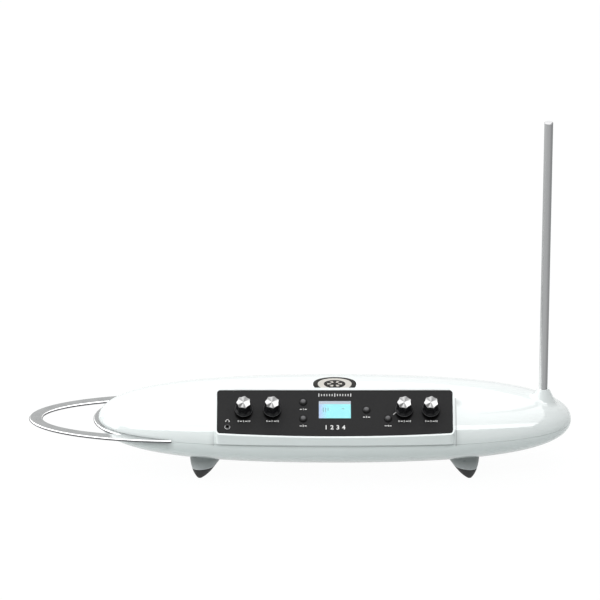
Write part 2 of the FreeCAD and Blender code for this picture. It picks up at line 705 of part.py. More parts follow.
def rear_panel():
    plate = box("rear_length", "rear_thickness", "rear_height", y="rear_plane + rear_thickness / 2",
                z="0 - rear_height / 2")
    holes = [rear_cylinder("jack_bush_radius + fit_gap", "rear_thickness * 3", x,
                           "rear_plane - rear_thickness") for x in JACKS.values()]
    for length, height, x, base in (
            ("dc_width", "dc_width", "dc_place", "0 - dc_width / 2"),
            ("usb_width", "usb_height", "usb_place", "0 - usb_height / 2"),
            ("rocker_length + 2 * bezel_width", "rocker_height + 2 * bezel_width", "switch_place",
             "0 - rocker_height / 2 - bezel_width")):
        holes.append(box(f"{length} + 2 * fit_gap", "rear_thickness * 3", f"{height} + 2 * fit_gap", x,
                         "rear_plane", f"{base} - fit_gap"))
    node("rear_panel", cut(plate, group(*holes)))


def rear_jacks():
    nuts = []
    for name, x in JACKS.items():
        body = box("jack_width", "jack_depth", "2 * io_board_drop", x, "rear_plane - jack_depth / 2",
                   "0 - io_board_drop")
        bush = rear_cylinder("jack_bush_radius", "rear_thickness + jack_bush", x, "rear_plane")
        bore = rear_cylinder("jack_bore", "jack_depth + jack_bush", x,
                             "rear_plane - jack_depth + rear_thickness")
        node(name, cut(join(body, bush), bore))
        nut = hexagon("jack_nut_radius", "jack_nut_height", x, "rear_face", turn=TO_REAR)
        nuts.append(cut(nut, rear_cylinder("jack_bush_radius", "jack_nut_height", x, "rear_face")))
    node("rear_jack_nuts", *nuts)


def socket_case(width, depth, height, x):
    """A socket's case that stands on its board behind the rear panel, and its nose through the panel."""
    case = box(width, f"{depth} - rear_thickness", f"io_board_drop + {height} / 2", x,
               f"rear_plane - ({depth} - rear_thickness) / 2", "0 - io_board_drop")
    nose = box(width, "rear_thickness", height, x, "rear_plane + rear_thickness / 2",
               f"0 - {height} / 2")
    return join(case, nose)


def rear_sockets():
    case = socket_case("dc_width", "dc_depth", "dc_width", "dc_place")
    bore = rear_cylinder("dc_bore", "dc_depth", "dc_place", "rear_face - dc_depth + dc_floor")
    pin = rear_cylinder("dc_pin", "dc_depth - dc_floor", "dc_place",
                        "rear_face - dc_depth + dc_floor / 2")
    node("power_inlet", join(cut(case, bore), pin))
    shell = socket_case("usb_width", "usb_depth", "usb_height", "usb_place")
    mouth = box("usb_width - 2 * usb_wall", "usb_depth", "usb_height - 2 * usb_wall", "usb_place",
                "rear_face", "usb_wall - usb_height / 2")
    tongue = box("usb_width / 2", "usb_depth / 2", "usb_height / 4", "usb_place",
                 "rear_face - usb_depth / 3", "0 - usb_height / 8")
    node("usb_socket", join(cut(shell, mouth), tongue))
    board = box("rear_length - 3 * rear_rim", "io_board_width", "board_thickness",
                y="rear_plane - rear_rim - io_board_width / 2 - board_room",
                z="0 - io_board_drop - board_thickness")
    node("socket_board", board)


def power_switch():
    outer_length = "rocker_length + 2 * bezel_width"
    outer_height = "rocker_height + 2 * bezel_width"
    case = box(outer_length, "rocker_length", outer_height, "switch_place",
               "rear_face - rocker_length / 2", "0 - rocker_height / 2 - bezel_width")
    bezel = box(outer_length + " + bezel_width", "bezel_height", outer_height + " + bezel_width",
                "switch_place", "rear_face + bezel_height / 2",
                "0 - rocker_height / 2 - 1.5 * bezel_width")
    mouth = box("rocker_length + 2 * rocker_gap", "rocker_length", "rocker_height + 2 * notch_gap",
                "switch_place", "rear_face + bezel_height - rocker_gap",
                "0 - rocker_height / 2 - notch_gap")
    pin_hole = cylinder("rocker_pin + running_gap", "rocker_pin_length + 2 * notch_gap", "switch_place",
                        "rear_face", "0 - rocker_pin_length / 2 - notch_gap")
    node("power_switch_case", cut(join(case, bezel), join(mouth, pin_hole)))
    drum = cylinder("rocker_length / 2", "rocker_height", "switch_place", "rear_face",
                    "0 - rocker_height / 2")
    front = box("rocker_length * 2", "rocker_length", "rocker_height * 2", "switch_place",
                "rear_face + rocker_rise + rocker_length / 2", "0 - rocker_height")
    back = box("rocker_length * 2", "rocker_length", "rocker_height * 2", "switch_place",
               "rear_face - rocker_rise - rocker_length / 2", "0 - rocker_height")
    pin = cylinder("rocker_pin", "rocker_pin_length", "switch_place", "rear_face",
                   "0 - rocker_pin_length / 2")
    node("power_rocker", join(cut(drum, join(front, back)), pin))


def badge():
    """Oval plate that follows the body's top, just behind the console."""
    plug = ellipse_prism("badge_half_length", "badge_half_depth", "body_height",
                         x="0", y="badge_setback - console_rear")
    cover = half_ovoid(size("badge_height"), True)
    node("top_badge", cut(overlap(plug, cover), half_ovoid(size("running_gap"), True)))


upper_shell()
lower_shell()
shell_screws()
volume_antenna()
pitch_antenna()
legs()
stand_insert()
front_panel()
for knob_name, knob_x in KNOBS.items():
    knob(knob_name, knob_x)
control_nuts()
for button_name, (button_x, button_y) in BUTTONS.items():
    button(button_name, button_x, button_y)
button_switches()
display()
headphone_jack()
panel_board()
main_board()
rear_panel()
rear_jacks()
rear_sockets()
power_switch()
badge()

document.recompute()
for item in document.Objects:
    if "Invalid" in item.State or "Error" in item.State:
        raise RuntimeError(f"{item.Label} did not build: {item.State}")
os.makedirs("parts", exist_ok=True)
for item in NODES:
    if item.Shape.isNull() or not item.Shape.isValid() or not item.Shape.Solids:
        raise RuntimeError(f"{item.Label} has no sound solid")
    item.Shape.exportStep(f"parts/{item.Label}.step")
    print(item.Label, len(item.Shape.Solids), round(item.Shape.Volume))
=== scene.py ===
"""Studio scene of the theremin: finishes, knobs, keys, printed marks and display on the CAD frame.

Every length is in metres and every angle in radians, unless its name or comment says otherwise.
Colours are linear, and a shade or glow is a share from 0, none, to 1, full.
"""
import json
import math

import bpy
from mathutils import Matrix, Vector


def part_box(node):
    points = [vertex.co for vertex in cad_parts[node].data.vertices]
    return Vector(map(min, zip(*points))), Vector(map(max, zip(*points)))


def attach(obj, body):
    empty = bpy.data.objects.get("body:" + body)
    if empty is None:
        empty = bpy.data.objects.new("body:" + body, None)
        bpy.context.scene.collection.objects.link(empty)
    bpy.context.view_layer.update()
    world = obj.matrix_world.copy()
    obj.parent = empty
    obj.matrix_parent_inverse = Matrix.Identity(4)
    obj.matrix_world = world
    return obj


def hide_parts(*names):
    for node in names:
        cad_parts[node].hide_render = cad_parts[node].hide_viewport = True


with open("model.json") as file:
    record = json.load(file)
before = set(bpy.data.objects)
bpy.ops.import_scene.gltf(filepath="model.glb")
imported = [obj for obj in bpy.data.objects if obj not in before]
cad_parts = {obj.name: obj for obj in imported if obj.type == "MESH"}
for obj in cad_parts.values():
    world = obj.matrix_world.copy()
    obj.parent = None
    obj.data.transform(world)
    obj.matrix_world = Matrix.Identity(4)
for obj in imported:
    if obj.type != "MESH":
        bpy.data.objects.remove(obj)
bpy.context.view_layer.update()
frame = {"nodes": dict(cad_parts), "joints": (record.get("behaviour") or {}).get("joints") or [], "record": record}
NODES = frame["nodes"]
JOINTS = {joint["name"]: joint for joint in frame["joints"]}
MM = 0.001

# how far each knob's lobes are turned about its axis at rest
KNOB_TURNS = {"outer_left": 0.05, "inner_left": -0.07, "inner_right": 0.02, "outer_right": 0.12}
KEYS = ("upper_left", "lower_left", "first_right", "second_right")
SIDES = {"left": -1, "right": 1}


# ---------------------------------------------------------------- the panel's own frame

PANEL_NORMAL = Vector(JOINTS["outer_left_turn"]["axis"]).normalized()
PANEL_RIGHT = Vector((1, 0, 0))
PANEL_UP = PANEL_NORMAL.cross(PANEL_RIGHT)
KNOB_GAP = 0.6 * MM  # from the panel's face to a knob's foot


def panel_origin():
    """The middle of the panel's rear edge, on its face."""
    low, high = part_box("front_panel")
    knob_foot = Vector(JOINTS["outer_left_turn"]["pos_m"]) - PANEL_NORMAL * KNOB_GAP
    climb = (high.y - knob_foot.y) / PANEL_UP.y
    rear = knob_foot + PANEL_UP * climb
    return Vector(((low.x + high.x) / 2, rear.y, rear.z))


PANEL_ORIGIN = panel_origin()


def panel_matrix(across, down, height=0.0):
    """Places a piece on the panel: across its middle, down from its rear edge, above its face."""
    centre = PANEL_ORIGIN + PANEL_RIGHT * across - PANEL_UP * down + PANEL_NORMAL * height
    turn = Matrix((PANEL_RIGHT, PANEL_UP, PANEL_NORMAL)).transposed().to_4x4()
    return Matrix.Translation(centre) @ turn


def panel_spot(point):
    """How far across and down the panel a point lies."""
    offset = Vector(point) - PANEL_ORIGIN
    return offset.dot(PANEL_RIGHT), -offset.dot(PANEL_UP)


def node_spot(name):
    low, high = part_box(name)
    return panel_spot((low + high) / 2)


def knob_spot(name):
    return panel_spot(JOINTS[name + "_turn"]["pos_m"])


def key_spot(name):
    return node_spot(name + "_button")


# ---------------------------------------------------------------- material helpers

FINE_DETAIL = 3.0                 # octaves of the noise in roughness and grain
NOISE_LOW, NOISE_HIGH = 0.3, 0.7  # most of a noise's values lie between these


class Finish:
    """A material under construction: a Principled shader and short ways to add nodes."""

    def __init__(self, name, color, roughness, **sockets):
        self.material = bpy.data.materials.new(name)
        self.material.use_nodes = True
        self.nodes = self.material.node_tree.nodes
        self.links = self.material.node_tree.links
        self.shader = self.nodes["Principled BSDF"]
        self.color = color
        self.shader.inputs["Base Color"].default_value = (*color, 1)
        self.shader.inputs["Roughness"].default_value = roughness
        for key, value in sockets.items():
            self.shader.inputs[key.replace("_", " ")].default_value = value

    def add(self, kind, inputs=None, **settings):
        """A node of a kind; each input is a socket to link from, or a fixed value."""
        node = self.nodes.new("ShaderNode" + kind)
        for key, value in settings.items():
            setattr(node, key, value)
        for key, value in (inputs or {}).items():
            if isinstance(value, bpy.types.NodeSocket):
                self.links.new(value, node.inputs[key])
            else:
                node.inputs[key].default_value = value
        return node

    # places and directions

    def place(self, stretch=(1, 1, 1)):
        """Object coordinates, which on a CAD node are metres in the part's frame."""
        source = self.add("TexCoord").outputs["Object"]
        return self.add("Mapping", {"Vector": source, "Scale": stretch}).outputs["Vector"]

    def split(self, vector):
        """A vector's X, Y and Z."""
        return self.add("SeparateXYZ", {"Vector": vector}).outputs

    def spot(self):
        """The X, Y and Z of a place."""
        return self.split(self.place())

    def facing(self, normal="True Normal"):
        """The X, Y and Z of the way that a face looks."""
        return self.split(self.add("NewGeometry").outputs[normal])

    def vector(self, operation, first, second=(0, 0, 0), output="Vector"):
        return self.add("VectorMath", {0: first, 1: second}, operation=operation).outputs[output]

    def noise(self, scale, detail=4.0, stretch=(1, 1, 1)):
        inputs = {"Vector": self.place(stretch), "Scale": scale, "Detail": detail}
        return self.add("TexNoise", inputs).outputs["Fac"]

    # sums

    def math(self, operation, first, second=0.0, third=0.0):
        inputs = {0: first, 1: second, 2: third}
        return self.add("Math", inputs, operation=operation).outputs["Value"]

    def above(self, value, limit):
        return self.math("GREATER_THAN", value, limit)

    def below(self, value, limit):
        return self.math("LESS_THAN", value, limit)

    def between(self, value, low, high):
        return self.product(self.above(value, low), self.below(value, high))

    def product(self, first, *others):
        for other in others:
            first = self.math("MULTIPLY", first, other)
        return first

    def most(self, first, *others):
        for other in others:
            first = self.math("MAXIMUM", first, other)
        return first

    def ramp(self, value, start, end):
        """Runs evenly from one (value, result) pair to another, and stays level beyond them."""
        inputs = {"Value": value, "From Min": start[0], "From Max": end[0],
                  "To Min": start[1], "To Max": end[1]}
        return self.add("MapRange", inputs).outputs["Result"]

    def mix(self, factor, first, second):
        """A blend of two colours, each a socket or a triple."""
        node = self.add("Mix", data_type="RGBA")
        for name, value in (("Factor_Float", factor), ("A_Color", first), ("B_Color", second)):
            socket = next(s for s in node.inputs if s.identifier == name)
            if isinstance(value, bpy.types.NodeSocket):
                self.links.new(value, socket)
            else:
                socket.default_value = (*value, 1)
        return next(s for s in node.outputs if s.identifier == "Result_Color")

    # the shader's inputs

    def drive(self, name, value):
        """Links a value to one of the shader's inputs."""
        self.links.new(value, self.shader.inputs[name])
        return self

    def paint(self, color):
        return self.drive("Base Color", color)

    def painted(self):
        """The colour that was painted last."""
        return self.shader.inputs["Base Color"].links[0].from_socket

    def mottle(self, scale, amount):
        """Slow variation of the colour about its own value."""
        dark = [channel * (1 - amount) for channel in self.color]
        light = [min(1, channel * (1 + amount)) for channel in self.color]
        return self.paint(self.mix(self.noise(scale), dark, light))

    def vary_roughness(self, scale, low, high, stretch=(1, 1, 1)):
        noise = self.noise(scale, FINE_DETAIL, stretch)
        rough = self.ramp(noise, (NOISE_LOW, low), (NOISE_HIGH, high))
        return self.drive("Roughness", rough)

    def bump(self, height, strength, distance):
        inputs = {"Height": height, "Strength": strength, "Distance": distance}
        return self.drive("Normal", self.add("Bump", inputs).outputs["Normal"])

    def grain(self, scale, strength, distance, stretch=(1, 1, 1)):
        return self.bump(self.noise(scale, FINE_DETAIL, stretch), strength, distance)


# ---------------------------------------------------------------- white shells

CONSOLE_LIP = 1.75 * MM   # from the panel's side edges to the console's outer edge
CONSOLE_FOOT = 2.1 * MM   # from the seam of the shells up to the console's lower edge
WALL_RUN = 1.8 * MM       # from the console's outer edge to the fine line of painted shade beside it
WALL_SLACK = 0.5 * MM     # how far past that line a painted shade may reach
EDGE_SLACK = 0.1 * MM     # how far past other edges a painted shade may reach
# the white moulding's colour in full painted shade
PAINTED_SHADE_WHITE = (0.10, 0.11, 0.11)


def shade_under_console(finish, reach, height, half, foot):
    """Painted shade in the crease under the console's lower edge, which fades out at the corners."""
    deepest, drop, curve = 0.42, 6 * MM, 1.5
    near = finish.math("POWER", finish.ramp(height, (foot - drop, 0), (foot, 1)), curve)
    on_body = finish.below(height, foot + EDGE_SLACK)
    along = finish.ramp(reach, (half - 6 * MM, deepest), (half + 4 * MM, 0))
    return finish.product(near, on_body, along)


def shade_beside_console(finish, across, reach, height, half, foot):
    """Painted shade: a fine line at the side walls' foot, darkest on the right, and soft shade low down."""
    line_depth, left_share, soft_depth, soft_curve = 0.5, 0.1, 0.28, 2.0
    wall = half + WALL_RUN
    from_wall = finish.math("ABSOLUTE", finish.math("SUBTRACT", reach, wall))
    line = finish.product(finish.ramp(from_wall, (0.3 * MM, line_depth), (1.1 * MM, 0)),
                          finish.ramp(across, (-half, left_share), (half, 1)))
    fall = finish.ramp(reach, (wall - WALL_SLACK, 1), (wall + 8 * MM, 0))
    low_down = finish.ramp(height, (65 * MM, 1), (74 * MM, 0))
    outside = finish.above(reach, wall - WALL_SLACK)
    soft = finish.product(finish.math("POWER", fall, soft_curve), low_down, soft_depth, outside)
    return finish.product(finish.most(line, soft), finish.above(height, foot - 4 * MM))


def corner_smudge(finish, reach, middle, wall):
    """A small round painted shade beside the upper end of the right wall."""
    deepest, radius = 0.42, 8 * MM
    corner = (middle + wall + WALL_SLACK, -30 * MM, 88 * MM)
    away = finish.vector("DISTANCE", finish.place(), corner, "Value")
    return finish.product(finish.ramp(away, (0, deepest), (radius, 0)),
                          finish.above(reach, wall - WALL_SLACK))


def console_creases(finish, spot):
    """How deep a spot of the body lies in the painted shade under and beside the console's walls."""
    low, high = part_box("front_panel")
    middle = (low.x + high.x) / 2
    half = (high.x - low.x) / 2 + CONSOLE_LIP
    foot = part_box("lower_shell")[1].z + CONSOLE_FOOT
    across = finish.math("SUBTRACT", spot["X"], middle)
    reach = finish.math("ABSOLUTE", across)
    deep = finish.most(shade_under_console(finish, reach, spot["Z"], half, foot),
                       shade_beside_console(finish, across, reach, spot["Z"], half, foot),
                       corner_smudge(finish, reach, middle, half + WALL_RUN))
    return finish.product(deep, finish.below(spot["Y"], high.y))


def loop_shade(finish, spot):
    """How deep a spot of the body lies in the painted shade of the volume antenna's front bar."""
    deep_under, drop, deep_over, rise, fade = 0.6, 13 * MM, 0.3, 3 * MM, 4 * MM
    low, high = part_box("volume_antenna")
    height = spot["Z"]
    under = finish.product(finish.ramp(height, (low.z - drop, 0), (low.z, deep_under)),
                           finish.below(height, low.z + EDGE_SLACK))
    over = finish.product(finish.ramp(height, (high.z, deep_over), (high.z + rise, 0)),
                          finish.above(height, high.z - EDGE_SLACK))
    along = finish.ramp(spot["X"], (high.x - fade, 1), (high.x + fade, 0))
    return finish.product(finish.most(under, over), along, finish.below(spot["Y"], 0))


def well_glow(finish):
    """Painted light: a glow on the low wall round the front panel, which would otherwise lie in shade."""
    brightest, wall_height = 0.65, 0.78 * MM
    low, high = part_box("front_panel")
    offset = finish.vector("SUBTRACT", finish.place(), PANEL_ORIGIN)
    rise = finish.vector("DOT_PRODUCT", offset, PANEL_NORMAL, "Value")
    climb = finish.vector("DOT_PRODUCT", offset, PANEL_UP, "Value")
    reach = finish.math("ABSOLUTE", finish.split(offset)["X"])
    inside = finish.product(finish.below(reach, (high.x - low.x) / 2 + 0.4 * MM),
                            finish.below(climb, 0.6 * MM))
    wall = finish.between(rise, 0, wall_height)
    fade = finish.ramp(climb, (-50 * MM, 0), (-30 * MM, brightest))
    return finish.product(inside, wall, fade)


def gloss_white():
    """White gloss moulding with painted shade round the console and under the loop, and a painted glow round the
    panel.
    """
    # the emission colour is the colour of the painted glow on the low wall round the panel
    finish = Finish("gloss_white", (0.79, 0.84, 0.835), roughness=0.06, Coat_Weight=1.0,
                    Coat_Roughness=0.02, Specular_IOR_Level=0.75, Emission_Color=(1, 1, 1, 1))
    finish.mottle(scale=9, amount=0.012).vary_roughness(scale=60, low=0.05, high=0.08)
    spot = finish.spot()
    # painted shade round the console and under the loop is mixed into the colour, and a painted glow lights the
    # panel's low wall
    painted_shade = finish.most(console_creases(finish, spot), loop_shade(finish, spot))
    finish.paint(finish.mix(painted_shade, finish.painted(), PAINTED_SHADE_WHITE))
    finish.drive("Emission Strength", well_glow(finish))
    return finish.grain(scale=900, strength=0.04, distance=0.2 * MM).material


# ---------------------------------------------------------------- panel, knobs and keys

def pressed_spots(finish):
    """How deep a spot of the panel lies in the painted shadow at the foot of its knobs and keys."""
    knob_radius, knob_drop = 9.8 * MM, 3.5 * MM
    key_radius, key_drop = 4.3 * MM, 0.6 * MM
    full, none = 0.86, 1.08  # shares of the radius where the shade is full and where it ends
    feet = [(*knob_spot(name), knob_radius, knob_drop) for name in KNOB_TURNS]
    feet += [(*key_spot(name), key_radius, key_drop) for name in KEYS]
    place = finish.place()
    shades = []
    for across, down, radius, drop in feet:
        centre = panel_matrix(across, down + drop).translation
        away = finish.vector("DISTANCE", place, centre, "Value")
        shades.append(finish.ramp(away, (radius * full, 1), (radius * none, 0)))
    return finish.most(*shades)


def matt_black():
    """Fine matt black, with painted shadow at the foot of the knobs and keys: blacker and duller there."""
    finish = Finish("matt_black", (0.010, 0.010, 0.0105), roughness=0.55)
    finish.mottle(scale=300, amount=0.10).vary_roughness(scale=500, low=0.48, high=0.62)
    deep = pressed_spots(finish)
    # the painted shadow's colour, with duller gloss inside it
    finish.paint(finish.mix(deep, finish.painted(), (0.0008, 0.0008, 0.0008)))
    finish.drive("Specular IOR Level", finish.ramp(deep, (0, 0.16), (1, 0.02)))
    return finish.grain(scale=4200, strength=0.2, distance=0.1 * MM).material


def knob_rubber():
    """Deep black fluted grip over a skirt whose shoulder carries a painted grey highlight."""
    finish = Finish("knob_rubber", (0.004, 0.004, 0.005), roughness=0.4, Specular_IOR_Level=0.25)
    # shoulder: where the skirt's painted grey highlight lies
    shoulder = finish.between(finish.spot()["Z"], 1.3 * MM, 2.1 * MM)
    black = finish.mix(finish.noise(250), (0.003, 0.003, 0.004), (0.005, 0.005, 0.006))
    finish.paint(finish.mix(shoulder, black, (0.085, 0.085, 0.087)))
    finish.vary_roughness(scale=300, low=0.34, high=0.48)
    return finish.grain(scale=3000, strength=0.12, distance=0.1 * MM).material


def key_rubber():
    """Grey dome with painted light where it faces up; its collar and lower sides are painted near black as shade.
    """
    finish = Finish("key_rubber", (0.10, 0.10, 0.105), roughness=0.5, Specular_IOR_Level=0.3)
    # dome: painted light where the dome faces up; below it the collar and lower sides are painted near black as
    # shade
    dome = finish.product(finish.ramp(finish.spot()["Z"], (1.3 * MM, 0), (1.9 * MM, 1)),
                          finish.ramp(finish.facing("Normal")["Z"], (0.55, 0.05), (0.92, 1)))
    grey = finish.mix(finish.noise(400), (0.125, 0.125, 0.13), (0.155, 0.155, 0.16))
    finish.paint(finish.mix(dome, (0.004, 0.004, 0.004), grey))
    finish.vary_roughness(scale=500, low=0.42, high=0.58)
    return finish.grain(scale=3500, strength=0.2, distance=0.1 * MM).material


# the painted fan of light round a spun cap's top: degrees about its axis and tone, from its left
# through its foot, right and top
PAINTED_CAP_FAN = ((-180, 0.52), (-164, 0.45), (-142, 0.07), (-124, 0.09), (-106, 0.40), (-78, 0.11),
           (-58, 0.48), (-20, 0.56), (12, 0.48), (37, 0.19), (70, 0.15), (100, 0.34), (134, 0.18),
           (158, 0.46), (180, 0.52))


def cap_fan(finish, spot):
    """The painted fan's tone at a spot of the cap's top."""
    angle = finish.math("ARCTAN2", spot["Y"], spot["X"])
    fan = finish.add("ValToRGB", {"Fac": finish.ramp(angle, (-math.pi, 0), (math.pi, 1))})
    stops = fan.color_ramp.elements
    for degrees, tone in PAINTED_CAP_FAN:
        position = degrees / 360 + 0.5
        ends = {0.0: stops[0], 1.0: stops[-1]}
        stop = ends.get(position) or stops.new(position)
        stop.color = (tone, tone, tone, 1)
    return fan.outputs["Color"]


def spun_silver():
    """Aluminium turned on a lathe: fine rings about the piece's own Z axis, with painted shade and light."""
    ring_rate = 26000.0  # radians of the rings' wave in each metre of radius
    bevel_above, top_above = 0.2, 0.95  # how far a bevel and the top look up from the panel
    finish = Finish("spun_silver", (0.80, 0.80, 0.81), roughness=0.24, Metallic=1.0,
                    Anisotropic=0.85)
    finish.drive("Tangent", finish.add("Tangent", direction_type="RADIAL", axis="Z").outputs[0])
    place = finish.place()
    radius = finish.vector("LENGTH", place, output="Value")
    rings = finish.math("SINE", finish.product(radius, ring_rate))
    normal = finish.add("NewGeometry").outputs["True Normal"]
    lift = finish.vector("DOT_PRODUCT", normal, PANEL_NORMAL, "Value")
    # painted shade: sides near black and bevels grey; the top carries the painted fan of light
    tone = finish.mix(finish.above(lift, bevel_above), (0.02, 0.02, 0.02), (0.17, 0.17, 0.17))
    tone = finish.mix(finish.above(lift, top_above), tone, cap_fan(finish, finish.split(place)))
    return finish.paint(tone).bump(rings, strength=0.15, distance=0.02 * MM).material


# ---------------------------------------------------------------- antennas

ALONG_ROD = (1, 1, 0.02)  # draws a pattern out into streaks along Z
FLAT = 0.95               # a face whose normal rises this far is the plate's flat top


def rod_metal():
    """Nickel-plated tube with painted light: brighter along its left flank than its right, most of all at its
    foot.
    """
    glow_height = 90 * MM
    finish = Finish("rod_metal", (0.38, 0.38, 0.385), roughness=0.32, Metallic=1.0)
    # painted light and shade: lighter on the left flank, darker on the right
    facing = finish.facing()["X"]
    lit = finish.mix(finish.ramp(facing, (-0.9, 0), (0.1, 1)),
                     (0.46, 0.46, 0.465), (0.43, 0.43, 0.435))
    tone = finish.mix(finish.ramp(facing, (0.2, 0), (0.95, 1)), lit, (0.23, 0.23, 0.235))
    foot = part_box("upper_shell")[1].z
    # glow: a painted highlight on the left flank, fading out glow_height above the rod's foot
    glow = finish.product(finish.ramp(facing, (-0.95, 1), (-0.2, 0)),
                          finish.ramp(finish.spot()["Z"], (foot, 1), (foot + glow_height, 0)))
    tone = finish.mix(glow, tone, (0.80, 0.80, 0.80))
    streaks = finish.noise(400, FINE_DETAIL, ALONG_ROD)
    streaks = finish.mix(streaks, (0.9, 0.9, 0.9), (1, 1, 1))
    finish.paint(finish.vector("MULTIPLY", tone, streaks))
    finish.vary_roughness(scale=30, low=0.27, high=0.38, stretch=ALONG_ROD)
    return finish.grain(scale=900, strength=0.08, distance=0.1 * MM, stretch=ALONG_ROD).material


def near_body(finish, spot):
    """Where the plate's front bar lies against the body's flank and bears a painted reflection of its white."""
    slope = 0.35
    slant = finish.math("MULTIPLY_ADD", spot["Y"], slope, spot["X"])
    return finish.product(finish.ramp(slant, (-225 * MM, 0), (-221 * MM, 1)),
                          finish.below(spot["Y"], -12 * MM))


def loop_metal():
    """Satin plate with painted light: its bevels bright along the top and dark below, told by tilt and height."""
    bevel_above, bevel_height = 0.3, 0.7 * MM
    finish = Finish("loop_metal", (0.32, 0.325, 0.325), roughness=0.36, Metallic=1.0)
    tilt = finish.facing()["Z"]
    spot = finish.spot()
    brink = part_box("volume_antenna")[1].z - bevel_height
    # painted highlight on the upper bevels; the faces below them are painted dark as shade
    painted_bevel_highlight = finish.product(finish.above(tilt, bevel_above), finish.above(spot["Z"], brink))
    satin = finish.mix(finish.noise(60), (0.180, 0.185, 0.185), (0.205, 0.21, 0.21))
    # the flat is satin, with a painted reflection of the body's white near the flank
    top = finish.mix(near_body(finish, spot), satin, (0.46, 0.48, 0.48))
    edge = finish.mix(painted_bevel_highlight, (0.10, 0.10, 0.105), (0.90, 0.90, 0.90))
    finish.paint(finish.mix(finish.above(tilt, FLAT), edge, top))
    finish.vary_roughness(scale=90, low=0.30, high=0.42)
    return finish.grain(scale=1400, strength=0.06, distance=0.1 * MM).material


# ---------------------------------------------------------------- legs, sockets and boards

LEG_REACH = 148 * MM              # from the body's middle to a leg's
PAD_HEIGHT = 13.2 * MM            # from the ground to the joint of leg and pad, at the leg's middle
PAD_SLANT = math.radians(8.5)     # the joint's slope, which falls away from the body's middle


def leg_moulding():
    """White moulding painted grey as shade: darker up under the body, palest at the joint with the rubber pad."""
    low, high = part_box("foot_pads")
    slope = math.tan(PAD_SLANT)
    finish = Finish("leg_grey", (0.42, 0.45, 0.45), roughness=0.3)
    spot = finish.spot()
    reach = finish.math("ABSOLUTE", finish.math("SUBTRACT", spot["X"], (low.x + high.x) / 2))
    joint = finish.math("MULTIPLY_ADD", reach, -slope, LEG_REACH * slope + PAD_HEIGHT)
    rise = finish.math("SUBTRACT", spot["Z"], joint)
    # painted shade, darker up under the body
    shaded = finish.mix(finish.ramp(rise, (1 * MM, 0), (12 * MM, 1)),
                        (0.56, 0.58, 0.59), (0.25, 0.27, 0.27))
    # rim: a painted highlight along the joint with the pad
    rim = finish.ramp(rise, (0.5 * MM, 1), (1.1 * MM, 0))
    tone = finish.mix(rim, shaded, (0.72, 0.74, 0.75))
    worn = finish.mix(finish.noise(120), (0.9, 0.9, 0.9), (1, 1, 1))
    finish.paint(finish.vector("MULTIPLY", tone, worn))
    finish.vary_roughness(scale=200, low=0.26, high=0.35)
    return finish.grain(scale=1500, strength=0.1, distance=0.1 * MM).material


def plain_moulding(name, color, roughness):
    finish = Finish(name, color, roughness)
    finish.mottle(scale=120, amount=0.06)
    finish.vary_roughness(scale=200, low=roughness * 0.85, high=roughness * 1.15)
    return finish.grain(scale=1500, strength=0.1, distance=0.1 * MM).material


def satin_metal(name, color, roughness):
    finish = Finish(name, color, roughness, Metallic=1.0)
    finish.mottle(scale=40, amount=0.05)
    finish.vary_roughness(scale=30, low=roughness * 0.85, high=roughness * 1.2)
    return finish.grain(scale=900, strength=0.08, distance=0.1 * MM).material


def circuit_green():
    """Solder mask over a pattern of paler tracks."""
    finish = Finish("circuit_green", (0.02, 0.14, 0.07), roughness=0.35)
    cells = finish.add("TexVoronoi", {"Vector": finish.place(), "Scale": 260.0},
                       distance="MANHATTAN")
    tracks = finish.above(cells.outputs["Distance"], 0.55)
    return finish.paint(finish.mix(tracks, finish.color, (0.04, 0.24, 0.11))).material


# ---------------------------------------------------------------- display and prints

def clear_window():
    finish = Finish("clear_window", (1, 1, 1), roughness=0.04, Transmission_Weight=1.0, IOR=1.1)
    return finish.vary_roughness(scale=40, low=0.0, high=0.03).material


def lit_display():
    """Backlit liquid crystal: pale cyan with a lilac bar along its top and left edges."""
    finish = Finish("lit_display", (0.01, 0.01, 0.01), roughness=0.4, Emission_Strength=1.0)
    spot = finish.spot()
    top = finish.above(spot["Y"], 6.8 * MM)
    left = finish.ramp(spot["X"], (-16.0 * MM, 1), (-8.0 * MM, 0))
    cyan = finish.mix(finish.noise(120), (0.27, 0.83, 0.88), (0.33, 0.87, 0.90))
    shaded = finish.mix(left, cyan, (0.44, 0.60, 0.86))
    return finish.drive("Emission Color", finish.mix(top, shaded, (0.46, 0.52, 0.60))).material


def badge_print():
    """Printed oval: dark rim, cream ring and a dark hub with even ticks."""
    ring_from, ring_to = 0.50, 0.78  # as shares of the oval, from its middle to its rim
    ticks_from, ticks_to = 0.16, 0.34
    tick_count, tick_edge = 6.0, 0.2
    low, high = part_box("top_badge")
    half = (high - low) / 2
    finish = Finish("badge_print", (0.02, 0.018, 0.016), roughness=0.4, Specular_IOR_Level=0.05)
    offset = finish.vector("SUBTRACT", finish.place(), (low + high) / 2)
    local = finish.vector("MULTIPLY", offset, (1 / half.x, 1 / half.y, 0))
    share = finish.vector("LENGTH", local, output="Value")
    parts = finish.split(local)
    angle = finish.math("ARCTAN2", parts["Y"], parts["X"])
    spokes = finish.above(finish.math("COSINE", finish.product(angle, tick_count)), tick_edge)
    ticks = finish.product(finish.between(share, ticks_from, ticks_to), spokes)
    cream = finish.most(finish.between(share, ring_from, ring_to), ticks)
    ink = finish.mix(finish.noise(600), (0.010, 0.009, 0.008), (0.018, 0.016, 0.014))
    paper = finish.mix(finish.noise(500), (0.54, 0.52, 0.48), (0.62, 0.60, 0.56))
    finish.paint(finish.mix(cream, ink, paper))
    finish.vary_roughness(scale=300, low=0.35, high=0.5)
    return finish.grain(scale=2500, strength=0.08, distance=0.1 * MM).material


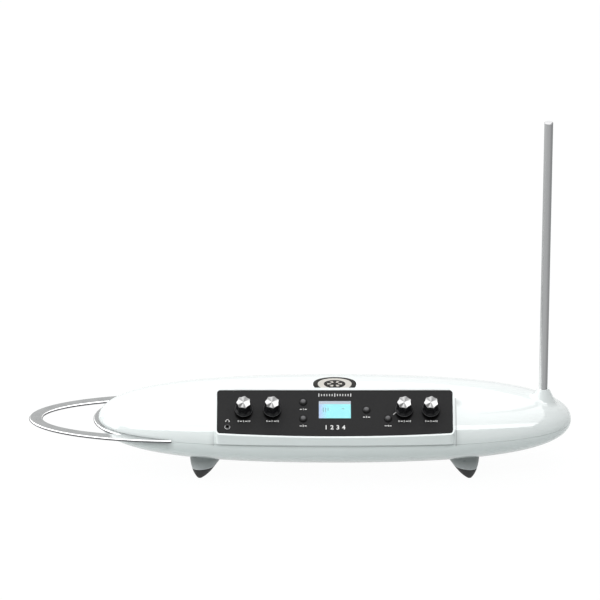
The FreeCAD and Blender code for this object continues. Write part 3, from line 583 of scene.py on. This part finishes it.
def ink_white():
    finish = Finish("ink_white", (0.78, 0.78, 0.77), roughness=0.5)
    finish.mottle(scale=800, amount=0.08)
    return finish.grain(scale=3000, strength=0.1, distance=0.1 * MM).material


MATERIALS = {
    "white_shell": gloss_white(),
    "panel_black": matt_black(),
    "knob_black": knob_rubber(),
    "knob_silver": spun_silver(),
    "button_grey": key_rubber(),
    "display_glass": clear_window(),
    "display_module": plain_moulding("module_plastic", (0.05, 0.055, 0.06), 0.5),
    "antenna_metal": loop_metal(),
    "rod_metal": rod_metal(),
    "socket_brass": satin_metal("socket_brass", (0.72, 0.55, 0.27), 0.3),
    "foot_rubber": plain_moulding("foot_rubber", (0.014, 0.014, 0.015), 0.5),
    "leg_grey": leg_moulding(),
    "board_green": circuit_green(),
    "control_steel": satin_metal("control_steel", (0.62, 0.63, 0.64), 0.3),
    "screw_steel": satin_metal("screw_steel", (0.20, 0.20, 0.21), 0.35),
    "socket_black": plain_moulding("socket_black", (0.02, 0.02, 0.021), 0.42),
    "badge_black": badge_print(),
}
INK = ink_white()
DISPLAY_LIT = lit_display()
DISPLAY_INK = plain_moulding("display_ink", (0.18, 0.34, 0.42), 0.5)


def dress_nodes():
    """Gives every CAD node the finish of its slot."""
    for part in frame["record"]["subparts"]:
        mesh = NODES[part["node"]].data
        mesh.materials.clear()
        mesh.materials.append(MATERIALS[part["material_slot"]])


# ---------------------------------------------------------------- object and mesh helpers

def put_object(name, data, matrix=None):
    """Puts an object into the scene."""
    item = bpy.data.objects.new(name, data)
    bpy.context.scene.collection.objects.link(item)
    if matrix:
        item.matrix_world = matrix
    return item


def mesh_piece(name, vertices, faces, material, body, matrix, smooth=True):
    mesh = bpy.data.meshes.new(name)
    mesh.from_pydata(vertices, [], faces)
    mesh.validate()
    mesh.materials.append(material)
    if smooth:
        mesh.shade_smooth()
    piece = put_object(name, mesh, matrix)
    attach(piece, body)
    return piece


def lathe(rings, steps, hollow=None):
    """Vertices and faces of a turned form; each ring is (radius, height), closed at both ends."""
    vertices, faces = [], []
    for row, (radius, height) in enumerate(rings):
        for step in range(steps):
            angle = 2 * math.pi * step / steps
            reach = radius - (hollow(row, angle) if hollow else 0.0)
            vertices.append((reach * math.cos(angle), reach * math.sin(angle), height))
    for row in range(len(rings) - 1):
        for step in range(steps):
            after = (step + 1) % steps
            faces.append((row * steps + step, row * steps + after,
                          (row + 1) * steps + after, (row + 1) * steps + step))
    faces.append(tuple(reversed(range(steps))))
    faces.append(tuple(range((len(rings) - 1) * steps, len(rings) * steps)))
    return vertices, faces


def sharpen(piece, degrees):
    """Smooth shading that keeps edges sharper than an angle."""
    piece.data.set_sharp_from_angle(angle=math.radians(degrees))


# ---------------------------------------------------------------- knobs and keys

LOBES = 7
KNOB_STEPS = LOBES * 24
SKIRT_RADIUS = 9.6 * MM
GRIP_RADIUS = 8.0 * MM
GRIP_TOP = 15.8 * MM
CAP_RADIUS = GRIP_RADIUS - 0.1 * MM
CAP_TOP = GRIP_TOP + 1.2 * MM

# profiles from the foot up: radius, height and the depth of the hollows between the lobes
GRIP_PROFILE = ((SKIRT_RADIUS - 0.5 * MM, 0, 0),
                (SKIRT_RADIUS, 0.4 * MM, 0),
                (SKIRT_RADIUS, 1.4 * MM, 0),
                (SKIRT_RADIUS - 0.35 * MM, 2.0 * MM, 0),
                (GRIP_RADIUS + 1.0 * MM, 3.0 * MM, 0.2 * MM),
                (GRIP_RADIUS + 0.45 * MM, 3.7 * MM, 0.7 * MM),
                (GRIP_RADIUS + 0.2 * MM, 4.6 * MM, 1.15 * MM),
                (GRIP_RADIUS, 9.0 * MM, 1.15 * MM),
                (GRIP_RADIUS - 0.15 * MM, GRIP_TOP - 0.5 * MM, 1.15 * MM),
                (GRIP_RADIUS - 0.4 * MM, GRIP_TOP, 1.1 * MM))
CAP_PROFILE = ((CAP_RADIUS, GRIP_TOP, 1.0 * MM),
               (CAP_RADIUS, GRIP_TOP + 0.85 * MM, 1.0 * MM),
               (CAP_RADIUS - 0.35 * MM, CAP_TOP, 0.95 * MM),
               (CAP_RADIUS * 0.6, CAP_TOP, 0),
               (CAP_RADIUS * 0.3, CAP_TOP, 0),
               (0.2 * MM, CAP_TOP, 0))

# a key's profile from its foot, under the panel, up over its dome: radius and height in mm
KEY_PROFILE_MM = ((3.7, -1.9), (3.7, 0.5), (3.55, 0.8), (3.2, 1.05), (3.0, 1.3), (2.7, 1.65),
                  (2.2, 1.92), (1.4, 2.1), (0.7, 2.18), (0.15, 2.2))
KEY_STEPS = 48


def fluted(profile, turn):
    """Vertices and faces of a turned form with hollows between its lobes."""
    def hollow(row, angle):
        depth = profile[row][2]
        return depth * (0.5 + 0.5 * math.cos(LOBES * (angle - turn))) ** 0.6

    return lathe([(radius, height) for radius, height, _ in profile], KNOB_STEPS, hollow)


def knob(name, turn):
    """A fluted black knob on its skirt, and the spun metal cap let into its top."""
    place = panel_matrix(*knob_spot(name), KNOB_GAP)
    body = mesh_piece(name + "_knob_body", *fluted(GRIP_PROFILE, turn), MATERIALS["knob_black"],
                      name + "_dial", place)
    sharpen(body, 50)
    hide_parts(name + "_knob")
    cap = mesh_piece(name + "_cap", *fluted(CAP_PROFILE, turn), MATERIALS["knob_silver"],
                     name + "_dial", place)
    sharpen(cap, 35)
    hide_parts(name + "_knob_cap")


def key(name):
    """A small domed rubber key, its collar painted near black as shade."""
    rings = [(radius * MM, height * MM) for radius, height in KEY_PROFILE_MM]
    piece = mesh_piece(name + "_key_dome", *lathe(rings, KEY_STEPS), MATERIALS["button_grey"],
                       name + "_key", panel_matrix(*key_spot(name)))
    sharpen(piece, 50)
    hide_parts(name + "_button")


def phones_ring():
    """The slim rounded ring round the headphone socket."""
    steps = 48
    bore, rim, top = 2.5 * MM, 3.0 * MM, 0.6 * MM
    rings = [(bore, 0), (rim, 0), (rim, top * 0.7), (rim - 0.12 * MM, top),
             (bore + 0.1 * MM, top), (bore, top * 0.8), (bore, 0)]
    vertices, faces = lathe(rings, steps)
    ring = mesh_piece("headphone_ring", vertices, faces[:-2], MATERIALS["control_steel"], "root",
                      panel_matrix(*node_spot("headphone_jack_nut")))
    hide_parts("headphone_jack_nut")


# ---------------------------------------------------------------- printed marks

MARK_LIFT = 0.03 * MM     # from the panel's face to the numerals
STROKE = 0.9 * MM         # the width of dashes and ticks
STROKE_HEIGHT = 0.1       # a stroke's height as a share of its width


def print_text(name, words, across, down, height):
    """Plain numerals printed on the panel, centred on a spot."""
    curve = bpy.data.curves.new(name, "FONT")
    curve.body = words
    curve.size = height * 1.4
    curve.align_x = "CENTER"
    curve.align_y = "CENTER"
    curve.extrude = 0.01 * MM
    curve.offset = height * 0.03
    curve.space_character = 1.1
    curve.materials.append(INK)
    piece = put_object(name, curve, panel_matrix(across, down, MARK_LIFT))
    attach(piece, "root")


def print_stroke(name, points, width, material=INK, height=0.0):
    """A printed line of even width through points given across and down the panel."""
    curve = bpy.data.curves.new(name, "CURVE")
    curve.dimensions = "3D"
    curve.bevel_depth = width / 2
    spline = curve.splines.new("POLY")
    spline.points.add(len(points) - 1)
    for point, (across, down) in zip(spline.points, points):
        point.co = (across, -down, 0, 1)
    curve.materials.append(material)
    flatten = Matrix.Diagonal((1, 1, STROKE_HEIGHT, 1))
    piece = put_object(name, curve, panel_matrix(0, 0, height) @ flatten)
    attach(piece, "root")


def print_row(name, words, across, down, height, pitch):
    """Three words, any of which may be blank, with a dash on each side of the middle one."""
    for place, word in enumerate(words):
        if word:
            print_text(f"{name}_{place}", word, across + (place - 1) * pitch, down, height)
    centre_share, half_share = (0.5, 0.2) if all(words) else (0.68, 0.3)
    for side, sign in SIDES.items():
        centre = across + sign * centre_share * pitch
        half = half_share * pitch
        print_stroke(f"{name}_dash_{side}", [(centre - half, down), (centre + half, down)], STROKE)


def print_ticks(middle):
    """The row of ticks above the display, every sixth of them long."""
    count, group, pitch, climb = 13, 6, 2.9 * MM, 17.9 * MM
    row = middle - climb
    for step in range(count):
        across = (step - count // 2) * pitch
        reach = 2.0 * MM if step % group == 0 else 1.3 * MM
        print_stroke(f"tuner_tick_{step}", [(across, row - reach), (across, row + reach)], STROKE)


def headphone_mark(across, down):
    """A headband over two ear pads, above the socket."""
    steps, half_width, height, climb = 12, 1.5 * MM, 1.3 * MM, 7.9 * MM
    pad_reach, pad_top, pad_foot = 1.9 * MM, 0.1 * MM, 1.4 * MM
    centre = down - climb
    turns = [math.pi * step / steps for step in range(steps + 1)]
    band = [(across + half_width * math.cos(turn), centre - height * math.sin(turn))
            for turn in turns]
    print_stroke("headphone_band", band, 0.5 * MM)
    for side, sign in SIDES.items():
        edge = across + sign * pad_reach
        print_stroke(f"headphone_pad_{side}",
                     [(edge, centre + pad_top), (edge, centre + pad_foot)], 1.0 * MM)


def print_marks():
    """Numerals and ticks in the places of the panel's words, and a headphone pictogram."""
    scale_drop, number_drop, title_drop = 14.0 * MM, 9.0 * MM, 22.6 * MM
    for name in KNOB_TURNS:
        across, down = knob_spot(name)
        print_row(name + "_scale", ("0", "5", "10"), across, down + scale_drop,
                  height=2.1 * MM, pitch=5.7 * MM)
    for number, name in enumerate(KEYS, start=1):
        across, down = key_spot(name)
        print_row(name + "_number", ("", str(number), ""), across, down + number_drop,
                  height=2.3 * MM, pitch=3.9 * MM)
    middle = node_spot("display_window")[1]
    print_ticks(middle)
    print_text("panel_numbers", "1 2 3 4", 0, middle + title_drop, height=5.2 * MM)
    across, down = key_spot("second_right")
    print_stroke("key_link", [(across + 5.7 * MM, down - 5.2 * MM),
                              (across + 9.5 * MM, down - 8.5 * MM)], 0.6 * MM)
    headphone_mark(*node_spot("headphone_jack_nut"))


# ---------------------------------------------------------------- display

DISPLAY_HALF_WIDTH = 10.9 * MM
DISPLAY_RAISE = 0.42 * MM         # towards the panel's rear edge
WINDOW_FOOT = -1.0 * MM           # heights from the panel's face
FACE_TOP, FACE_FOOT = -1.12 * MM, -1.2 * MM
DISPLAY_INK_HEIGHT = -1.08 * MM
BAR_LENGTHS = (5.4 * MM, 5.4 * MM, 3.6 * MM)
BAR_PITCH = 2.6 * MM
FIRST_BAR = -12.6 * MM            # across the window from its middle


def display_plate(name, foot, top, material, inset=0.0):
    """A flat plate let into the panel, of the window's size less an inset."""
    low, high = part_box("display_window")
    across, down = panel_spot((low + high) / 2)
    x, y = (high.x - low.x) / 2 - inset, DISPLAY_HALF_WIDTH - inset
    corners = [(-x, -y), (x, -y), (x, y), (-x, y)]
    vertices = [(*corner, foot) for corner in corners] + [(*corner, top) for corner in corners]
    sides = [(n, (n + 1) % 4, (n + 1) % 4 + 4, n + 4) for n in range(4)]
    return mesh_piece(name, vertices, [(3, 2, 1, 0), (4, 5, 6, 7)] + sides, material, "root",
                      panel_matrix(across, down - DISPLAY_RAISE), smooth=False)


def display():
    """The lit face behind the clear window, with a bar graph and a mark on it."""
    window = display_plate("display_glass", WINDOW_FOOT, 0.0, MATERIALS["display_glass"])
    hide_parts("display_window")
    display_plate("display_face", FACE_FOOT, FACE_TOP, DISPLAY_LIT, inset=0.1 * MM)
    across, down = node_spot("display_window")
    bars_top = down - 2.6 * MM
    for number, length in enumerate(BAR_LENGTHS):
        left = across + FIRST_BAR + number * BAR_PITCH
        print_stroke(f"display_bar_{number}", [(left, bars_top), (left, bars_top + length)],
                     STROKE, DISPLAY_INK, DISPLAY_INK_HEIGHT)
    mark = down - 1.4 * MM
    print_stroke("display_mark", [(across + 8 * MM, mark), (across + 10 * MM, mark)],
                 1.0 * MM, DISPLAY_INK, DISPLAY_INK_HEIGHT)


# ---------------------------------------------------------------- stage

WHITE = (1, 1, 1, 1)
BODY_X = PANEL_ORIGIN.x


def lay_floor():
    """A broad pale floor that shows white but keeps the object's shadow."""
    half, glow_strength = 15.0, 1.04
    seen_share, mirrored_share = 0.93, 0.6  # how much glow is laid over the lit floor
    finish = Finish("floor_white", (0.56, 0.60, 0.595), roughness=0.9)
    path = finish.add("LightPath").outputs
    seen = finish.most(path["Is Camera Ray"], path["Is Transmission Ray"])
    glow = finish.add("Emission", {"Color": WHITE, "Strength": glow_strength})
    share = finish.most(finish.product(seen, seen_share),
                        finish.product(path["Is Glossy Ray"], mirrored_share))
    blend = finish.add("MixShader", {0: share, 1: finish.shader.outputs["BSDF"],
                                     2: glow.outputs["Emission"]})
    surface = finish.nodes["Material Output"].inputs["Surface"]
    finish.links.new(blend.outputs["Shader"], surface)
    mesh = bpy.data.meshes.new("floor")
    corners = [(-half, -half, 0), (half, -half, 0), (half, half, 0), (-half, half, 0)]
    mesh.from_pydata(corners, [], [(0, 1, 2, 3)])
    mesh.materials.append(finish.material)
    floor = put_object("floor", mesh)


def light_world():
    """Faint light from all round, and plain white wherever the world itself is seen."""
    world = bpy.data.worlds.new("studio")
    bpy.context.scene.world = world
    world.use_nodes = True
    nodes, links = world.node_tree.nodes, world.node_tree.links
    path = nodes.new("ShaderNodeLightPath").outputs
    lit, shown = nodes["Background"], nodes.new("ShaderNodeBackground")
    for background, strength in ((lit, 0.1), (shown, 1.0)):
        background.inputs["Color"].default_value = WHITE
        background.inputs["Strength"].default_value = strength
    seen = path["Is Camera Ray"]
    for ray in ("Is Transmission Ray", "Is Glossy Ray"):
        either = nodes.new("ShaderNodeMath")
        either.operation = "MAXIMUM"
        links.new(seen, either.inputs[0])
        links.new(path[ray], either.inputs[1])
        seen = either.outputs["Value"]
    blend = nodes.new("ShaderNodeMixShader")
    links.new(seen, blend.inputs[0])
    links.new(lit.outputs["Background"], blend.inputs[1])
    links.new(shown.outputs["Background"], blend.inputs[2])
    links.new(blend.outputs["Shader"], nodes["World Output"].inputs["Surface"])


# the ceiling's own frame: over the body, and turned a little about Z
CEILING = Matrix.Translation((BODY_X, 0, 1.9)) @ Matrix.Rotation(math.radians(15), 4, "Z")
CEILING_LEFT, CEILING_RIGHT = -4.0, 1.6


def look(place, ahead):
    """The matrix of a lamp or camera at a place that looks in a direction."""
    return Matrix.Translation(place) @ ahead.to_track_quat("-Z", "Y").to_matrix().to_4x4()


def softbox(name, matrix, width, depth, radiance):
    """A rectangular lamp of a given brightness that shines down its own Z axis."""
    data = bpy.data.lights.new(name, "AREA")
    data.shape = "RECTANGLE"
    data.size, data.size_y = width, depth
    data.energy = radiance * math.pi * width * depth
    put_object(name, data, matrix)


def ceiling_softbox(name, front, back, radiance):
    """A broad lamp over the body; its front edge is the brink of the gleam along the flank."""
    middle = Matrix.Translation(((CEILING_LEFT + CEILING_RIGHT) / 2, (front + back) / 2, 0))
    softbox(name, CEILING @ middle, CEILING_RIGHT - CEILING_LEFT, back - front, radiance)


def set_lights():
    light_world()
    ceiling_softbox("overhead", front=-1.1, back=5.0, radiance=1.33)
    ceiling_softbox("front_strip", front=-1.9, back=-1.1, radiance=2.9)
    place, target = Vector((-2.4, 0.0, 0.85)), Vector((BODY_X, 0, 0.08))
    softbox("left", look(place, target - place), width=2.0, depth=1.8, radiance=1.9)


def set_camera():
    """The photograph's view: level azimuth and a long lens pitched 24.7 degrees down.

    The body lies below the middle of the picture, so it is seen from about 26 degrees above.
    """
    distance, pitch = 5.75, math.radians(24.7)
    focal_pixels, picture_pixels = 5227, 600
    lift = 0.130  # how far up the picture its middle lies from the seam of the shells
    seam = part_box("lower_shell")[1].z
    ahead = Vector((0, math.cos(pitch), -math.sin(pitch)))
    upward = Vector((0, math.sin(pitch), math.cos(pitch)))
    aimed = Vector((0, 0, seam)) + upward * lift
    data = bpy.data.cameras.new("camera")
    data.sensor_width = 36
    data.lens = focal_pixels / picture_pixels * data.sensor_width
    data.clip_end = 50
    bpy.context.scene.camera = put_object("camera", data, look(aimed - ahead * distance, ahead))


bpy.context.scene.view_settings.view_transform = "Standard"
set_camera()
set_lights()
lay_floor()
dress_nodes()
for knob_name, knob_turn in KNOB_TURNS.items():
    knob(knob_name, knob_turn)
for key_name in KEYS:
    key(key_name)
phones_ring()
display()
print_marks()
